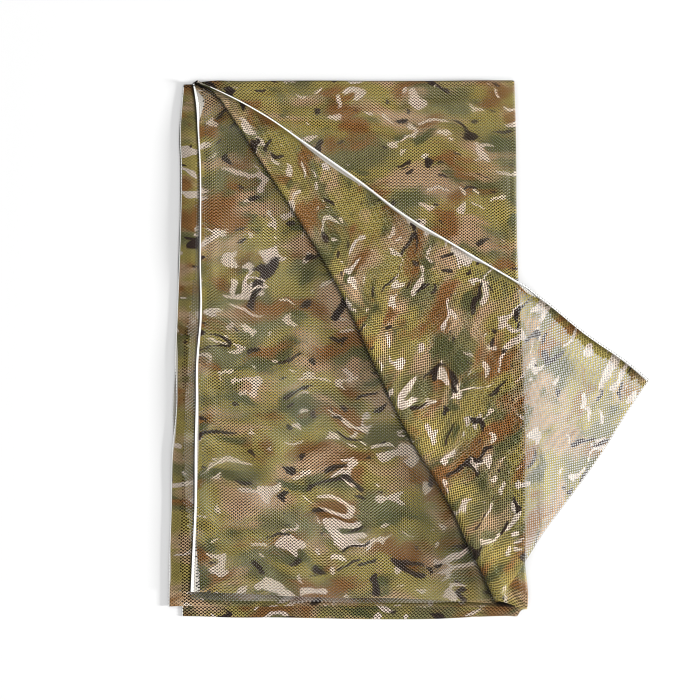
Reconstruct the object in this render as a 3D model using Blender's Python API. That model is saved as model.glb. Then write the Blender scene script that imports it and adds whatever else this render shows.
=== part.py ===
"""A camouflage net: one length of printed mesh cloth, folded in four, one corner turned back.

Metres, +Z up, origin at the bottom centre of the bounding box. The cloth is folded at its top
edge, then at its right edge, and lies flat. The free corner of the top layer is turned back to
the right in a soft roll and hangs over the side fold to the floor.

The cloth starts as a flat sheet, measured across (from one selvedge to the other) and along
(from one cut end to the other). Creases are pressed into it where it will bend, and then each
of its points is carried to its place in the folded stack.
"""

import math

import bmesh
import bpy
import numpy as np


def table(columns, *rows):
    """A short table: one array for each named column."""
    return dict(zip(columns.split(), np.array(rows).T))


# The flat cloth.
CLOTH_WIDTH = 1.500
CLOTH_LENGTH = 2.365
CLOTH_THICKNESS = 0.0016

# The two folds. Each lies a little off the middle of the cloth, so no two edges meet exactly.
LAYER_PITCH = 0.004
TOP_FOLD_ALONG = 0.0175
SIDE_FOLD_ACROSS = -0.020
TOP_RADIUS = LAYER_PITCH / 2
SIDE_RADIUS = LAYER_PITCH
HALF_TOP_ARC = TOP_RADIUS * math.pi / 2
HALF_SIDE_ARC = SIDE_RADIUS * math.pi / 2
EDGE_ROOM = TOP_RADIUS + CLOTH_THICKNESS / 2
FLOOR_LAYER_HEIGHT = CLOTH_THICKNESS / 2
STACK_MIDDLE = FLOOR_LAYER_HEIGHT + SIDE_RADIUS + TOP_RADIUS

# The tables and the corner below are drawn from a point near the middle of the floor plan.
# The origin, at the middle of the bounding box, lies here in that drawing.
ORIGIN_IN_DRAWING = np.array((0.00272, 0.00800, 0.0))

# Where the side fold and the four selvedges lie, by the distance down from the top fold.
# The layers are counted from the top one.
TOP_EDGE = 0.612
SIDES = table(
    "down    side_fold  first   second  third   fourth",
    (0.000, 0.244, -0.492, -0.492, -0.514, -0.514),
    (0.048, 0.245, -0.482, -0.484, -0.517, -0.518),
    (0.110, 0.246, -0.476, -0.479, -0.520, -0.523),
    (0.200, 0.246, -0.472, -0.473, -0.516, -0.520),
    (0.300, 0.245, -0.468, -0.471, -0.516, -0.519),
    (0.420, 0.246, -0.465, -0.470, -0.518, -0.521),
    (0.540, 0.250, -0.462, -0.468, -0.521, -0.519),
    (0.640, 0.255, -0.459, -0.475, -0.523, -0.523),
    (0.730, 0.256, -0.456, -0.475, -0.519, -0.528),
    (0.840, 0.256, -0.453, -0.476, -0.527, -0.524),
    (0.960, 0.255, -0.450, -0.475, -0.528, -0.519),
    (1.080, 0.253, -0.446, -0.479, -0.530, -0.508),
    (1.190, 0.254, -0.443, -0.482, -0.530, -0.501),
    (1.210, 0.247, -0.442, -0.482, -0.530, -0.500),
)

# How far the cut ends lie below the top edge, and how far the top fold itself strays, by the
# share of the width from the side fold to the selvedge. The upper pair is the first and second
# layer, the lower pair the third and fourth. The stray of the top fold dies out below it.
STRAY_FADE = 0.20
ENDS = table(
    "share  first  second  third  fourth  upper_top  lower_top",
    (0.000, 1.186, 1.183, 1.183, 1.186, 0.000, 0.000),
    (0.006, 1.187, 1.182, 1.183, 1.187, 0.000, 0.000),
    (0.008, 1.187, 1.182, 1.182, 1.188, 0.000, 0.000),
    (0.012, 1.186, 1.181, 1.182, 1.201, 0.000, 0.000),
    (0.014, 1.185, 1.180, 1.181, 1.202, 0.000, 0.000),
    (0.030, 1.179, 1.178, 1.180, 1.202, 0.000, 0.000),
    (0.060, 1.172, 1.176, 1.181, 1.202, 0.000, 0.000),
    (0.110, 1.165, 1.173, 1.182, 1.203, 0.000, 0.000),
    (0.250, 1.164, 1.167, 1.181, 1.208, -0.001, -0.001),
    (0.400, 1.169, 1.162, 1.180, 1.209, -0.001, -0.001),
    (0.580, 1.178, 1.161, 1.178, 1.207, 0.000, -0.002),
    (0.720, 1.182, 1.157, 1.181, 1.205, 0.000, -0.003),
    (0.860, 1.181, 1.152, 1.180, 1.205, -0.001, -0.003),
    (0.930, 1.182, 1.150, 1.179, 1.203, 0.001, -0.004),
    (1.000, 1.182, 1.148, 1.181, 1.202, -0.003, -0.006),
)

# The turned-back corner. Its fold starts at the top left and runs down to the right.
# "reach" is the distance along the fold; the other columns are distances square to it, to the
# right: the roll's outer edge, and the selvedge of the turned-back cloth.
CORNER = np.array((-0.478, 0.604))
CORNER_SLOPE = math.radians(60.8)
FOLD_DIRECTION = np.array((math.cos(CORNER_SLOPE), -math.sin(CORNER_SLOPE)))
FOLD_SQUARE = np.array((math.sin(CORNER_SLOPE), math.cos(CORNER_SLOPE)))
TURN = table(
    "reach  roll_edge  radius  selvedge",
    (-0.010, -0.006, 0.0021, -0.001),
    (0.020, 0.011, 0.0022, 0.020),
    (0.045, 0.021, 0.0024, 0.037),
    (0.086, 0.027, 0.0026, 0.065),
    (0.150, 0.031, 0.0031, 0.103),
    (0.230, 0.036, 0.0036, 0.141),
    (0.380, 0.045, 0.0046, 0.212),
    (0.500, 0.049, 0.0054, 0.264),
    (0.600, 0.046, 0.0060, 0.320),
    (0.700, 0.038, 0.0067, 0.378),
    (0.800, 0.030, 0.0074, 0.435),
    (0.930, 0.023, 0.0083, 0.487),
    (1.030, 0.026, 0.0090, 0.535),
    (1.110, 0.026, 0.0096, 0.565),
    (1.185, 0.019, 0.0101, 0.600),
    (1.260, 0.015, 0.0106, 0.640),
    (1.380, 0.004, 0.0114, 0.700),
)

# The turned cloth slips along the fold, by a share of the reach: some in the roll, and more on
# the way to the selvedge.
ROLL_SLIP = 0.014
FLAP_SLIP = 0.027

# Beyond the roll the cloth settles on the stack within so many roll radii. Past the side fold it
# hangs down to the floor.
FLAP_SETTLE = 9.0
DRAPE_START = 0.001
DRAPE_WIDTH = 0.046

# The stack is uneven: its heights swell by up to this share, in slow waves.
SWELL = 0.34
WAVES = table(
    "across_waves  along_waves  phase",
    (0.9, 1.7, 0.4),
    (2.3, -1.1, 2.1),
    (-1.6, 2.9, 4.4),
)

# The mesh: cells in each layer, and steps round each bend. Settle lines are shares of the
# distance in which the turned-back cloth settles.
CELLS_ACROSS = 12
CELLS_ALONG = 20
FOLD_STEPS = 6
ROLL_STEPS = 6
SETTLE_LINES = (0.2, 0.45, 0.75, 1.0)
DRAPE_STEPS = 4
DIFFERENCE = 1e-5
EDGE_SNAP = 0.004
SOLVE_STEPS = 4
TINY = 1e-6
SMOOTH_ANGLE = math.radians(50.0)

NET_COLOUR = (0.20, 0.19, 0.11, 1.0)
NET_ROUGHNESS = 0.85


def ease(value):
    """0 to 1 with a soft start and a soft end."""
    value = np.clip(value, 0.0, 1.0)
    return value * value * (3.0 - 2.0 * value)


def read(rows, column, key, position):
    """A smooth curve through one column of a table, at a position in its key column."""
    knots, values = rows[key], rows[column]
    slopes = np.gradient(values, knots)
    low = np.clip(np.searchsorted(knots, position) - 1, 0, len(knots) - 2)
    step = knots[low + 1] - knots[low]
    part = np.clip((position - knots[low]) / step, 0.0, 1.0)
    rest = 1.0 - part
    start = rest * rest * ((1.0 + 2.0 * part) * values[low] + part * step * slopes[low])
    end = part * part * ((1.0 + 2.0 * rest) * values[low + 1] - rest * step * slopes[low + 1])
    return start + end


def by_layer(upper, outer, first, second, third, fourth):
    """One of four values, by the pair a point is in and its place in that pair."""
    return np.where(upper, np.where(outer, first, second), np.where(outer, fourth, third))


def read_layer(rows, key, position, upper, outer):
    names = ("first", "second", "third", "fourth")
    return by_layer(upper, outer, *(read(rows, name, key, position) for name in names))


def fold_line(down):
    """Where the flat cloth of every layer ends and its turn round the side fold starts."""
    return read(SIDES, "side_fold", "down", down) - SIDE_RADIUS - EDGE_ROOM


def flat_reach(upper, outer):
    """Flat lengths from the two folds' turns to a layer's selvedge and to its cut end."""
    to_selvedge = CLOTH_WIDTH / 2 - HALF_SIDE_ARC + SIDE_FOLD_ACROSS * np.where(upper, 1.0, -1.0)
    to_end = CLOTH_LENGTH / 2 - HALF_TOP_ARC + TOP_FOLD_ALONG * np.where(outer, 1.0, -1.0)
    return to_selvedge, to_end


def top_stray(share, down, upper):
    names = ("upper_top", "lower_top")
    strays = [read(ENDS, name, "share", share) for name in names]
    return np.where(upper, *strays) * (1.0 - ease(down / STRAY_FADE))


def stack(across, along):
    """Cloth points in the folded stack, with the top layer's corner not yet turned back."""
    past_top = along - TOP_FOLD_ALONG
    past_side = across - SIDE_FOLD_ACROSS
    outer = past_top < 0.0
    upper = past_side < 0.0
    top_angle = np.clip(past_top / TOP_RADIUS, -math.pi / 2, math.pi / 2)
    side_angle = np.clip(past_side / SIDE_RADIUS, -math.pi / 2, math.pi / 2)

    to_selvedge, to_end = flat_reach(upper, outer)
    share = np.maximum(np.abs(past_side) - HALF_SIDE_ARC, 0.0) / to_selvedge
    down = np.maximum(np.abs(past_top) - HALF_TOP_ARC, 0.0) / to_end
    down = down * (read_layer(ENDS, "share", share, upper, outer) - EDGE_ROOM)
    selvedge = read_layer(SIDES, "down", down, upper, outer)
    bend_radius = SIDE_RADIUS - TOP_RADIUS * np.sin(top_angle)

    flat_x = fold_line(down) + share * (selvedge - fold_line(down))
    x = flat_x + bend_radius * np.cos(side_angle)
    y = TOP_EDGE - EDGE_ROOM + top_stray(share, down, upper) + TOP_RADIUS * np.cos(top_angle) - down
    z = STACK_MIDDLE - bend_radius * np.sin(side_angle)
    return x, y, z


def flat_from_plan(x, y):
    """The flat-cloth point that the stack carries to x, y in the top layer."""
    to_selvedge, to_end = flat_reach(True, True)
    level = TOP_EDGE - EDGE_ROOM - y
    down = level
    for _ in range(SOLVE_STEPS):
        share = (fold_line(down) - x) / (fold_line(down) - read(SIDES, "first", "down", down))
        down = level + top_stray(share, down, True)
    stretch = (read(ENDS, "first", "share", share) - EDGE_ROOM) / to_end
    across = SIDE_FOLD_ACROSS - HALF_SIDE_ARC - share * to_selvedge
    along = TOP_FOLD_ALONG - HALF_TOP_ARC - down / stretch
    return across, along


def fold_frame(x, y):
    """Distance along the turned-back corner's fold, and distance square to it."""
    offset_x, offset_y = x - CORNER[0], y - CORNER[1]
    reach = offset_x * FOLD_DIRECTION[0] + offset_y * FOLD_DIRECTION[1]
    square = offset_x * FOLD_SQUARE[0] + offset_y * FOLD_SQUARE[1]
    return reach, square


def plan_from_fold(reach, square):
    x = CORNER[0] + reach * FOLD_DIRECTION[0] + square * FOLD_SQUARE[0]
    y = CORNER[1] + reach * FOLD_DIRECTION[1] + square * FOLD_SQUARE[1]
    return x, y


def roll_shape(reach):
    """The roll's radius, and the line on which the flat cloth starts to rise into it."""
    radius = read(TURN, "radius", "reach", reach)
    return radius, read(TURN, "roll_edge", "reach", reach) + radius + CLOTH_THICKNESS / 2


def side_fold_at(y):
    return read(SIDES, "side_fold", "down", TOP_EDGE - y)


def turn_back(x, y, z):
    """Top-layer points after the corner left of the roll is turned back over the stack."""
    reach, square = fold_frame(x, y)
    radius, start = roll_shape(reach)
    over = np.maximum(start - square, 0.0)
    angle = np.minimum(over / radius, math.pi)
    beyond = np.maximum(over - math.pi * radius, 0.0)

    selvedge_left = np.maximum(x - read(SIDES, "first", "down", TOP_EDGE - y), 0.0)
    selvedge_square = selvedge_left / FOLD_SQUARE[0]
    out = beyond / np.maximum(beyond + selvedge_square, TINY)
    new_reach = reach * (1.0 + ROLL_SLIP * angle / math.pi + FLAP_SLIP * out)
    wanted = read(TURN, "selvedge", "reach", new_reach)
    new_square = np.where(over > 0.0, start - radius * np.sin(angle) + beyond, square)
    new_square = new_square + out * (wanted - start - beyond - selvedge_square)
    new_x, new_y = plan_from_fold(new_reach, new_square)

    lift = radius * (1.0 - np.cos(angle))
    lift = lift + (LAYER_PITCH - lift) * ease(beyond / (FLAP_SETTLE * radius))
    fall = ease((new_x - side_fold_at(new_y) - DRAPE_START) / DRAPE_WIDTH) * (beyond > 0.0)
    new_z = z + lift
    new_z = new_z + (FLOOR_LAYER_HEIGHT - new_z) * fall
    return new_x, new_y, new_z


def swell(x, y):
    """A slow wave between 0 and 1 over the floor plan."""
    waves = zip(WAVES["across_waves"], WAVES["along_waves"], WAVES["phase"])
    total = sum(np.sin(2.0 * math.pi * (p * x + q * y) + phase) for p, q, phase in waves)
    return 0.5 + total / (2.0 * len(WAVES["phase"]))


def place(across, along):
    """Middle-of-the-cloth points in the finished folds, as an array of x, y, z."""
    x, y, z = stack(across, along)
    top_layer = (across < SIDE_FOLD_ACROSS) & (along < TOP_FOLD_ALONG - HALF_TOP_ARC)
    turned = turn_back(x, y, z)
    x, y, z = (np.where(top_layer, new, old) for new, old in zip(turned, (x, y, z)))
    z = FLOOR_LAYER_HEIGHT + (z - FLOOR_LAYER_HEIGHT) * (1.0 + SWELL * swell(x, y))
    return np.stack((x, y, z), axis=-1) - ORIGIN_IN_DRAWING


def normals(across, along):
    """Unit vectors out of the side of the cloth that faces out of the stack."""
    step_across = place(across + DIFFERENCE, along) - place(across - DIFFERENCE, along)
    step_along = place(across, along + DIFFERENCE) - place(across, along - DIFFERENCE)
    out = np.cross(step_across, step_along)
    return out / np.linalg.norm(out, axis=-1, keepdims=True)


def fold_lines(low, high, fold, half_arc, cells):
    """Grid lines of the flat sheet in one direction: even cells, and fine steps at the fold."""
    before = np.linspace(low, fold - half_arc, cells + 1)
    bend = np.linspace(fold - half_arc, fold + half_arc, FOLD_STEPS + 1)
    after = np.linspace(fold + half_arc, high, cells + 1)
    return np.concatenate((before, bend[1:-1], after))


def flat_sheet():
    """The cloth laid out flat, as a grid with fine steps where it folds in four."""
    across = fold_lines(-CLOTH_WIDTH / 2, CLOTH_WIDTH / 2, SIDE_FOLD_ACROSS, HALF_SIDE_ARC, CELLS_ACROSS)
    along = fold_lines(-CLOTH_LENGTH / 2, CLOTH_LENGTH / 2, TOP_FOLD_ALONG, HALF_TOP_ARC, CELLS_ALONG)
    sheet = bmesh.new()
    grid = [[sheet.verts.new((a, b, 0.0)) for b in along] for a in across]
    for near, far in zip(grid, grid[1:]):
        for k in range(len(along) - 1):
            sheet.faces.new((near[k], far[k], far[k + 1], near[k + 1]))
    return sheet


def top_layer_faces(sheet):
    side = SIDE_FOLD_ACROSS - HALF_SIDE_ARC
    top = TOP_FOLD_ALONG - HALF_TOP_ARC
    middles = [(face, face.calc_center_median()) for face in sheet.faces]
    return [face for face, middle in middles if middle.x < side and middle.y < top]


def press_lines(sheet, faces, warp, unwarp, offsets):
    """Press crease lines into some faces, along lines that are straight in a warped frame."""
    rest = {vert: vert.co.copy() for face in faces for vert in face.verts}
    for vert, place_flat in rest.items():
        vert.co = (*warp(place_flat.x, place_flat.y), 0.0)
    for offset in offsets:
        edges = dict.fromkeys(edge for face in faces for edge in face.edges)
        verts = dict.fromkeys(vert for face in faces for vert in face.verts)
        cut = bmesh.ops.bisect_plane(
            sheet, geom=[*verts, *edges, *faces], dist=TINY,
            plane_co=(offset, 0.0, 0.0), plane_no=(1.0, 0.0, 0.0))
        faces = [part for part in cut["geom"] if isinstance(part, bmesh.types.BMFace)]
        for vert in dict.fromkeys(vert for face in faces for vert in face.verts):
            rest.setdefault(vert, None)
    for vert, place_flat in rest.items():
        vert.co = place_flat or (*unwarp(vert.co.x, vert.co.y), 0.0)


def warp_to_roll(across, along):
    """Flat cloth to a frame in which the roll is straight and its radius is 1."""
    x, y, _ = stack(np.array(across), np.array(along))
    reach, square = fold_frame(x, y)
    radius, start = roll_shape(reach)
    return float((square - start) / radius), float(reach)


def unwarp_from_roll(turn, reach):
    radius, start = roll_shape(np.array(reach))
    across, along = flat_from_plan(*plan_from_fold(reach, turn * radius + start))
    return float(across), float(along)


def press_roll(sheet):
    """Crease lines round the roll, and where the cloth beyond it settles."""
    rounds = [-math.pi * step / ROLL_STEPS for step in range(ROLL_STEPS + 1)]
    settling = [-math.pi - FLAP_SETTLE * share for share in SETTLE_LINES]
    press_lines(sheet, top_layer_faces(sheet), warp_to_roll, unwarp_from_roll, rounds + settling)


def warp_to_drape(across, along):
    """Flat cloth to a frame in which the side fold under the turned-back corner is straight."""
    x, y, _ = turn_back(*stack(np.array(across), np.array(along)))
    return float(x - side_fold_at(y)), float(y)


def unwarp_from_drape(offset, y):
    new_reach, new_square = fold_frame(offset + side_fold_at(y), y)
    reach = new_reach
    for _ in range(SOLVE_STEPS):
        radius, start = roll_shape(reach)
        edge = start - math.pi * radius
        edge_x, edge_y = plan_from_fold(reach, edge)
        width = (edge_x - read(SIDES, "first", "down", TOP_EDGE - edge_y)) / FOLD_SQUARE[0]
        wanted = read(TURN, "selvedge", "reach", new_reach)
        out = (new_square - start) / (wanted - start)
        reach = new_reach / (1.0 + ROLL_SLIP + FLAP_SLIP * out)
    across, along = flat_from_plan(*plan_from_fold(reach, edge - out * width))
    return float(across), float(along)


def press_drape(sheet):
    """Crease lines where the turned-back corner hangs down past the side fold."""
    faces = []
    for face in top_layer_faces(sheet):
        middle = face.calc_center_median()
        if warp_to_roll(middle.x, middle.y)[0] < -math.pi:
            faces.append(face)
    offsets = [DRAPE_START + DRAPE_WIDTH * step / DRAPE_STEPS for step in range(DRAPE_STEPS + 1)]
    press_lines(sheet, faces, warp_to_drape, unwarp_from_drape, offsets)


def tidy_border(sheet):
    """Bring border points that the creases added back onto the cloth's straight edges."""
    half = np.array((CLOTH_WIDTH, CLOTH_LENGTH)) / 2
    for vert in sheet.verts:
        if vert.is_boundary:
            for axis in range(2):
                if half[axis] - abs(vert.co[axis]) < EDGE_SNAP:
                    vert.co[axis] = math.copysign(half[axis], vert.co[axis])


def folded_solid(sheet):
    """The closed solid: an outer and an inner skin on the folds, and a rim between them."""
    bmesh.ops.triangulate(sheet, faces=sheet.faces[:])
    sheet.verts.ensure_lookup_table()
    sheet.verts.index_update()
    flat = np.array([vert.co[:2] for vert in sheet.verts])
    middle = place(flat[:, 0], flat[:, 1])
    half = normals(flat[:, 0], flat[:, 1]) * CLOTH_THICKNESS / 2

    solid = bmesh.new()
    outer = [solid.verts.new(point) for point in middle + half]
    inner = [solid.verts.new(point) for point in middle - half]
    for face in sheet.faces:
        corners = [vert.index for vert in face.verts]
        solid.faces.new([outer[k] for k in corners])
        solid.faces.new([inner[k] for k in reversed(corners)])
    for edge in sheet.edges:
        if edge.is_boundary:
            loop = edge.link_loops[0]
            start, end = loop.vert.index, loop.link_loop_next.vert.index
            solid.faces.new((outer[end], outer[start], inner[start], inner[end]))
    return solid


def net_material():
    material = bpy.data.materials.new("printed_mesh_cloth")
    material.use_nodes = True
    shader = material.node_tree.nodes["Principled BSDF"]
    shader.inputs["Base Color"].default_value = NET_COLOUR
    shader.inputs["Roughness"].default_value = NET_ROUGHNESS
    shader.inputs["Metallic"].default_value = 0.0
    return material


def add_net():
    sheet = flat_sheet()
    press_roll(sheet)
    press_drape(sheet)
    tidy_border(sheet)
    solid = folded_solid(sheet)
    sheet.free()
    mesh = bpy.data.meshes.new("net")
    solid.to_mesh(mesh)
    solid.free()
    mesh.shade_smooth()
    mesh.set_sharp_from_angle(angle=SMOOTH_ANGLE)
    mesh.materials.append(net_material())
    net = bpy.data.objects.new("net", mesh)
    bpy.context.scene.collection.objects.link(net)


for old in list(bpy.data.objects):
    bpy.data.objects.remove(old, do_unlink=True)
add_net()
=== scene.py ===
# %% [markdown]
# # A camouflage net, folded in four
#
# The real thing is one length of knitted polyester mesh, printed in camouflage colours. It is
# sold off a roll, so it has two knitted selvedges, left unprinted and white, and two raw cut
# ends. It lies folded in four with one corner turned back.
#
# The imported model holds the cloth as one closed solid. Here the solid is replaced by the mesh
# itself, with every hole open, lying on the same folds. All sizes are in metres.

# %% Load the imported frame
import math

import bpy
import numpy as np
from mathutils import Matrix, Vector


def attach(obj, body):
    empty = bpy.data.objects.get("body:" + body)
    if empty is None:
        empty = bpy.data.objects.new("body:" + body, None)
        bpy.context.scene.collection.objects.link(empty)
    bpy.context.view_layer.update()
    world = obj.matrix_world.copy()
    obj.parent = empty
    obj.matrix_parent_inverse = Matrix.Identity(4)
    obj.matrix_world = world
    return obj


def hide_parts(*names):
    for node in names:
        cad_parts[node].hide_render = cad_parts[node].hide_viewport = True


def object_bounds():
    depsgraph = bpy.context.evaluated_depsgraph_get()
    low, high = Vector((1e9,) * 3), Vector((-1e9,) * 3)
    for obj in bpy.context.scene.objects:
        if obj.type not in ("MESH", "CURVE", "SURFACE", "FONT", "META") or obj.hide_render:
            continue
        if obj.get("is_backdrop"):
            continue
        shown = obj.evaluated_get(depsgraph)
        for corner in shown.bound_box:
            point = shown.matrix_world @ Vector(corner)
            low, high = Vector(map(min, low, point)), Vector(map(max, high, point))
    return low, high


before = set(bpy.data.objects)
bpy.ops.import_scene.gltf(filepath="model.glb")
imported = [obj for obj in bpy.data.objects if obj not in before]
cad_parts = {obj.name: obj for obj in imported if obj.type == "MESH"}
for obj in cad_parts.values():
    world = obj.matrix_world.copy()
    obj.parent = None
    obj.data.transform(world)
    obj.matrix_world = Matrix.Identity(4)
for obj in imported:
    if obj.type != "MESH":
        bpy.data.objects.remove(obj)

cad_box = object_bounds()
print("solid box:", [[round(value, 4) for value in corner] for corner in cad_box])

# %% [markdown]
# ## Camera and light first
#
# The net is seen from almost straight above. The camera stands on a line through a point of the
# floor and leans a little towards the near side, so that point, an angle and a distance place it.
# Its lens follows from how many metres one picture element covers at that point.

# %% Camera
LOOK_AT = np.array((-0.1349, -0.0125, 0.0))
CAMERA_DISTANCE = 2.5
CAMERA_ELEVATION = math.radians(84.7)
PIXEL_FILTER = 1.0
PICTURE_SIDE = 700
METRES_PER_PIXEL = 0.00224
SENSOR_MM = 36.0


def add_camera():
    away = np.array((0.0, -math.cos(CAMERA_ELEVATION), math.sin(CAMERA_ELEVATION)))
    data = bpy.data.cameras.new("camera")
    data.sensor_width = SENSOR_MM
    data.lens = SENSOR_MM * CAMERA_DISTANCE / (METRES_PER_PIXEL * PICTURE_SIDE)
    camera = bpy.data.objects.new("camera", data)
    camera.location = LOOK_AT + CAMERA_DISTANCE * away
    camera.rotation_euler = (math.pi / 2 - CAMERA_ELEVATION, 0.0, 0.0)
    bpy.context.scene.collection.objects.link(camera)
    bpy.context.scene.camera = camera
    bpy.context.scene.cycles.filter_width = PIXEL_FILTER
    return camera


camera = add_camera()
print(f"camera: lens {camera.data.lens:.1f} mm, at {tuple(round(v, 3) for v in camera.location)}")

# %% [markdown]
# A large soft box stands low on the right. Light that comes in low shows every crease, and throws
# a soft shadow to the left of even a thin pile. The box stands far away, so the floor is lit
# evenly. White surroundings fill the rest.

# %% Light
KEY_DISTANCE = 14.0
KEY_AZIMUTH = math.radians(-4.0)
KEY_ELEVATION = math.radians(12.0)
KEY_SIZE = 1.6
KEY_WATTS = 5600.0
SKY_STRENGTH = 1.18


def add_light():
    level = KEY_DISTANCE * math.cos(KEY_ELEVATION)
    height = KEY_DISTANCE * math.sin(KEY_ELEVATION)
    spot = (level * math.cos(KEY_AZIMUTH), level * math.sin(KEY_AZIMUTH), height)
    bpy.ops.object.light_add(type="AREA", location=spot)
    light = bpy.context.object
    light.name = "soft_box"
    light.data.shape = "SQUARE"
    light.data.size = KEY_SIZE
    light.data.energy = KEY_WATTS
    light.rotation_euler = (math.pi / 2 - KEY_ELEVATION, 0.0, KEY_AZIMUTH + math.pi / 2)
    return light


def add_surroundings():
    world = bpy.data.worlds.new("white_room")
    world.use_nodes = True
    background = world.node_tree.nodes["Background"]
    background.inputs["Color"].default_value = (1.0, 1.0, 1.0, 1.0)
    background.inputs["Strength"].default_value = SKY_STRENGTH
    bpy.context.scene.world = world
    bpy.context.scene.view_settings.view_transform = "Standard"


light = add_light()
add_surroundings()
print(f"soft box of {KEY_WATTS:.0f} W at {tuple(round(v, 2) for v in light.location)}")

# %% [markdown]
# ## The folds of the cloth
#
# The cloth is measured flat: across, from selvedge to selvedge, and along, from cut end to cut
# end. A chain of small functions carries each flat point to its place: first into the stack of
# four layers, then the top layer's corner back over a soft roll. The sizes are those of the
# solid, so the mesh lies where the solid lies.

# %% Reading the tables of the folds


def table(columns, *rows):
    """A short table: one array for each named column."""
    return dict(zip(columns.split(), np.array(rows).T))


def ease(value):
    """0 to 1 with a soft start and a soft end."""
    value = np.clip(value, 0.0, 1.0)
    return value * value * (3.0 - 2.0 * value)


def read(rows, column, key, position):
    """A smooth curve through one column of a table, at a position in its key column."""
    knots, values = rows[key], rows[column]
    slopes = np.gradient(values, knots)
    low = np.clip(np.searchsorted(knots, position) - 1, 0, len(knots) - 2)
    gap = knots[low + 1] - knots[low]
    part = np.clip((position - knots[low]) / gap, 0.0, 1.0)
    rest = 1.0 - part
    start = rest * rest * ((1.0 + 2.0 * part) * values[low] + part * gap * slopes[low])
    end = part * part * ((1.0 + 2.0 * rest) * values[low + 1] - rest * gap * slopes[low + 1])
    return start + end


# %% The flat cloth and its two folds
CLOTH_WIDTH = 1.500
CLOTH_LENGTH = 2.365
CLOTH_THICKNESS = 0.0016
LAYER_PITCH = 0.004
TOP_FOLD_ALONG = 0.0175
SIDE_FOLD_ACROSS = -0.020
TOP_RADIUS = LAYER_PITCH / 2
SIDE_RADIUS = LAYER_PITCH
HALF_TOP_ARC = TOP_RADIUS * math.pi / 2
HALF_SIDE_ARC = SIDE_RADIUS * math.pi / 2
EDGE_ROOM = TOP_RADIUS + CLOTH_THICKNESS / 2
FLOOR_LAYER_HEIGHT = CLOTH_THICKNESS / 2
STACK_MIDDLE = FLOOR_LAYER_HEIGHT + SIDE_RADIUS + TOP_RADIUS
ORIGIN_IN_DRAWING = np.array((0.00272, 0.00800, 0.0))
print(f"flat cloth: {CLOTH_WIDTH} x {CLOTH_LENGTH} m")

# %% Where the side fold, the selvedges and the cut ends of the four layers lie
TOP_EDGE = 0.612
SIDES = table(
    "down    side_fold  first   second  third   fourth",
    (0.000, 0.244, -0.492, -0.492, -0.514, -0.514),
    (0.048, 0.245, -0.482, -0.484, -0.517, -0.518),
    (0.110, 0.246, -0.476, -0.479, -0.520, -0.523),
    (0.200, 0.246, -0.472, -0.473, -0.516, -0.520),
    (0.300, 0.245, -0.468, -0.471, -0.516, -0.519),
    (0.420, 0.246, -0.465, -0.470, -0.518, -0.521),
    (0.540, 0.250, -0.462, -0.468, -0.521, -0.519),
    (0.640, 0.255, -0.459, -0.475, -0.523, -0.523),
    (0.730, 0.256, -0.456, -0.475, -0.519, -0.528),
    (0.840, 0.256, -0.453, -0.476, -0.527, -0.524),
    (0.960, 0.255, -0.450, -0.475, -0.528, -0.519),
    (1.080, 0.253, -0.446, -0.479, -0.530, -0.508),
    (1.190, 0.254, -0.443, -0.482, -0.530, -0.501),
    (1.210, 0.247, -0.442, -0.482, -0.530, -0.500),
)
STRAY_FADE = 0.20
ENDS = table(
    "share  first  second  third  fourth  upper_top  lower_top",
    (0.000, 1.186, 1.183, 1.183, 1.186, 0.000, 0.000),
    (0.006, 1.187, 1.182, 1.183, 1.187, 0.000, 0.000),
    (0.008, 1.187, 1.182, 1.182, 1.188, 0.000, 0.000),
    (0.012, 1.186, 1.181, 1.182, 1.201, 0.000, 0.000),
    (0.014, 1.185, 1.180, 1.181, 1.202, 0.000, 0.000),
    (0.030, 1.179, 1.178, 1.180, 1.202, 0.000, 0.000),
    (0.060, 1.172, 1.176, 1.181, 1.202, 0.000, 0.000),
    (0.110, 1.165, 1.173, 1.182, 1.203, 0.000, 0.000),
    (0.250, 1.164, 1.167, 1.181, 1.208, -0.001, -0.001),
    (0.400, 1.169, 1.162, 1.180, 1.209, -0.001, -0.001),
    (0.580, 1.178, 1.161, 1.178, 1.207, 0.000, -0.002),
    (0.720, 1.182, 1.157, 1.181, 1.205, 0.000, -0.003),
    (0.860, 1.181, 1.152, 1.180, 1.205, -0.001, -0.003),
    (0.930, 1.182, 1.150, 1.179, 1.203, 0.001, -0.004),
    (1.000, 1.182, 1.148, 1.181, 1.202, -0.003, -0.006),
)

# %% The stack of four layers


def by_layer(upper, outer, first, second, third, fourth):
    """One of four values, by the pair a point is in and its place in that pair."""
    return np.where(upper, np.where(outer, first, second), np.where(outer, fourth, third))


def read_layer(rows, key, position, upper, outer):
    names = ("first", "second", "third", "fourth")
    return by_layer(upper, outer, *(read(rows, name, key, position) for name in names))


def fold_line(down):
    """Where the flat cloth of every layer ends and its turn round the side fold starts."""
    return read(SIDES, "side_fold", "down", down) - SIDE_RADIUS - EDGE_ROOM


def flat_reach(upper, outer):
    """Flat lengths from the two folds' turns to a layer's selvedge and to its cut end."""
    to_selvedge = CLOTH_WIDTH / 2 - HALF_SIDE_ARC + SIDE_FOLD_ACROSS * np.where(upper, 1.0, -1.0)
    to_end = CLOTH_LENGTH / 2 - HALF_TOP_ARC + TOP_FOLD_ALONG * np.where(outer, 1.0, -1.0)
    return to_selvedge, to_end


def top_stray(share, down, upper):
    names = ("upper_top", "lower_top")
    strays = [read(ENDS, name, "share", share) for name in names]
    return np.where(upper, *strays) * (1.0 - ease(down / STRAY_FADE))


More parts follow.
